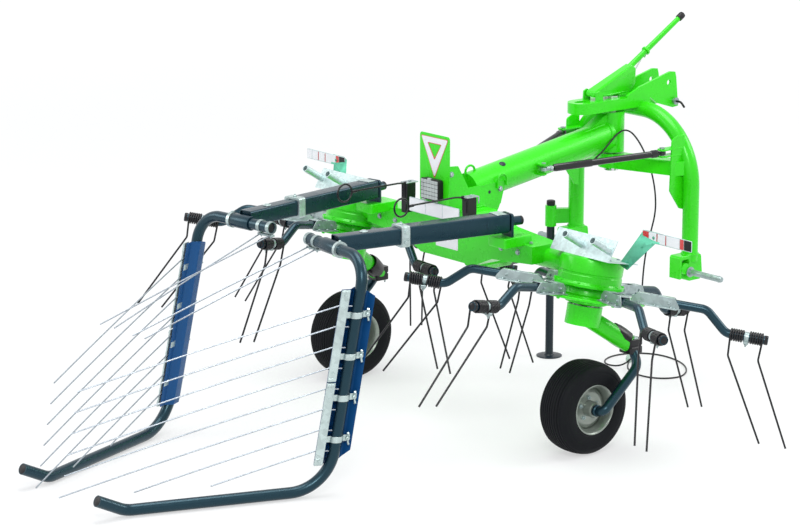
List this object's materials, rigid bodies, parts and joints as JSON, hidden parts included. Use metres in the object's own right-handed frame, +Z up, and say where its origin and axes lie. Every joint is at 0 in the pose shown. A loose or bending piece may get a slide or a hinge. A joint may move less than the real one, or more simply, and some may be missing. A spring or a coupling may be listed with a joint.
{
  "type": "twin rotor hay rake",
  "caption": "Mounted twin rotor hay rake: tined rotors on small wheels under a cross beam, with rear swath formers and a swivelling three point headstock.",
  "frame": {"origin": "on the ground, in the plane of symmetry, under the middle of the machine's length", "axes": "+X to the machine's right, +Y towards the tractor, +Z up"},
  "size_m": [3.3888, 3.5676, 1.6915],
  "materials": {
    "green_paint": "gloss",
    "blue_paint": "satin",
    "zinc": "satin zinc plating",
    "stand_paint": "satin",
    "black_paint": "satin",
    "chrome": "polished",
    "bare_steel": "bare",
    "black_plastic": "matt",
    "grey_plastic": "matt",
    "sign_face": "retroreflective sheet",
    "rim_paint": "satin",
    "tyre": "matt rubber"
  },
  "bodies": {
    "frame": {"boom": "green_paint", "damper_lugs": "green_paint", "cross_beam": "green_paint", "center_gearbox": "green_paint", "pto_guard": "black_plastic", "sign_plate": "sign_face", "document_box": "grey_plastic", "cable_hooks": "zinc", "pull_rods": "zinc", "latch_blocks": "black_plastic", "swath_pivots": "green_paint", "marker_boards": "sign_face", "right_rotor_housing": "green_paint", "left_rotor_housing": "green_paint", "right_top_bracket": "zinc", "left_top_bracket": "zinc", "right_leg_bracket": "green_paint", "left_leg_bracket": "green_paint", "right_wheel_leg": "blue_paint", "left_wheel_leg": "blue_paint", "light_cable": "black_plastic", "plug": "grey_plastic"},
    "input_shaft": {"pto_shaft": "bare_steel"},
    "headstock": {"headstock_arch": "green_paint", "lower_brace": "green_paint", "mast_bracket": "green_paint", "hitch_pins": "zinc", "swivel_pin": "zinc", "stand_socket": "green_paint"},
    "lever": {"lock_lever": "green_paint"},
    "stand": {"parking_stand": "stand_paint"},
    "right_barrel": {"right_damper_barrel": "black_paint"},
    "right_rod": {"right_damper_rod": "chrome"},
    "right_rotor": {"right_rotor_hub": "green_paint", "right_arm_clamps": "zinc", "right_rotor_arms": "blue_paint", "right_tines": "black_paint"},
    "right_wheel": {"right_wheel_rim": "rim_paint", "right_tyre": "tyre"},
    "right_former": {"right_swath_beam": "green_paint", "right_swath_tube": "blue_paint", "right_swath_board": "blue_paint", "right_swath_strip": "zinc", "right_windrow_rods": "zinc"},
    "left_barrel": {"left_damper_barrel": "black_paint"},
    "left_rod": {"left_damper_rod": "chrome"},
    "left_rotor": {"left_rotor_hub": "green_paint", "left_arm_clamps": "zinc", "left_rotor_arms": "blue_paint", "left_tines": "black_paint"},
    "left_wheel": {"left_wheel_rim": "rim_paint", "left_tyre": "tyre"},
    "left_former": {"left_swath_beam": "green_paint", "left_swath_tube": "blue_paint", "left_swath_board": "blue_paint", "left_swath_strip": "zinc", "left_windrow_rods": "zinc"}
  },
  "joints": [
    {"name": "headstock_swivel", "type": "hinge", "parent": "frame", "child": "headstock", "pos_m": [0, 1.305, 1.18], "axis": [0, 0, 1], "range_deg": [-12, 12]},
    {"name": "right_damper_swing", "type": "hinge", "parent": "headstock", "child": "right_barrel", "pos_m": [0.33, 1.305, 1.123], "axis": [0, 0, 1], "range_deg": [-10, 10]},
    {"name": "left_damper_swing", "type": "hinge", "parent": "headstock", "child": "left_barrel", "pos_m": [-0.33, 1.305, 1.123], "axis": [0, 0, 1], "range_deg": [-10, 10]},
    {"name": "right_damper_travel", "type": "slide", "parent": "right_barrel", "child": "right_rod", "axis": [-0.4199, -0.9039, -0.0818], "range_m": [-0.065, 0.065]},
    {"name": "left_damper_travel", "type": "slide", "parent": "left_barrel", "child": "left_rod", "axis": [0.4199, -0.9039, -0.0818], "range_m": [-0.065, 0.065]},
    {"name": "lock_lever_lift", "type": "hinge", "parent": "headstock", "child": "lever", "pos_m": [0, 1.182, 1.362], "axis": [1, 0, 0], "range_deg": [0, 25]},
    {"name": "stand_slide", "type": "slide", "parent": "headstock", "child": "stand", "axis": [0, 0, 1], "range_m": [0, 0.35]},
    {"name": "right_rotor_spin", "type": "hinge", "parent": "frame", "child": "right_rotor", "pos_m": [0.796, 0.4, 0.636], "axis": [0, 0.2045, 0.9789], "continuous": true},
    {"name": "left_rotor_spin", "type": "hinge", "parent": "frame", "child": "left_rotor", "pos_m": [-0.796, 0.4, 0.636], "axis": [0, 0.2045, 0.9789], "continuous": true},
    {"name": "input_spin", "type": "hinge", "parent": "frame", "child": "input_shaft", "pos_m": [0, 0.7, 0.715], "axis": [0, 1, 0], "continuous": true},
    {"name": "right_wheel_spin", "type": "hinge", "parent": "frame", "child": "right_wheel", "pos_m": [0.796, 0.4, 0.203], "axis": [1, 0, 0], "continuous": true},
    {"name": "left_wheel_spin", "type": "hinge", "parent": "frame", "child": "left_wheel", "pos_m": [-0.796, 0.4, 0.203], "axis": [1, 0, 0], "continuous": true},
    {"name": "right_former_fold", "type": "hinge", "parent": "frame", "child": "right_former", "pos_m": [0.453, 0.249, 0.974], "axis": [-0.1719, -0.9851, 0], "range_deg": [0, 95]},
    {"name": "left_former_fold", "type": "hinge", "parent": "frame", "child": "left_former", "pos_m": [-0.453, 0.249, 0.974], "axis": [-0.1719, 0.9851, 0], "range_deg": [0, 95]}
  ],
  "couplings": [
    {"joint": "right_damper_swing", "follows": "headstock_swivel", "ratio": -0.752},
    {"joint": "left_damper_swing", "follows": "headstock_swivel", "ratio": -0.752},
    {"joint": "right_damper_travel", "follows": "headstock_swivel", "m_per_rad": 0.2983},
    {"joint": "left_damper_travel", "follows": "headstock_swivel", "m_per_rad": -0.2983},
    {"joint": "left_rotor_spin", "follows": "right_rotor_spin", "ratio": -1},
    {"joint": "input_spin", "follows": "right_rotor_spin", "ratio": 4.3}
  ]
}
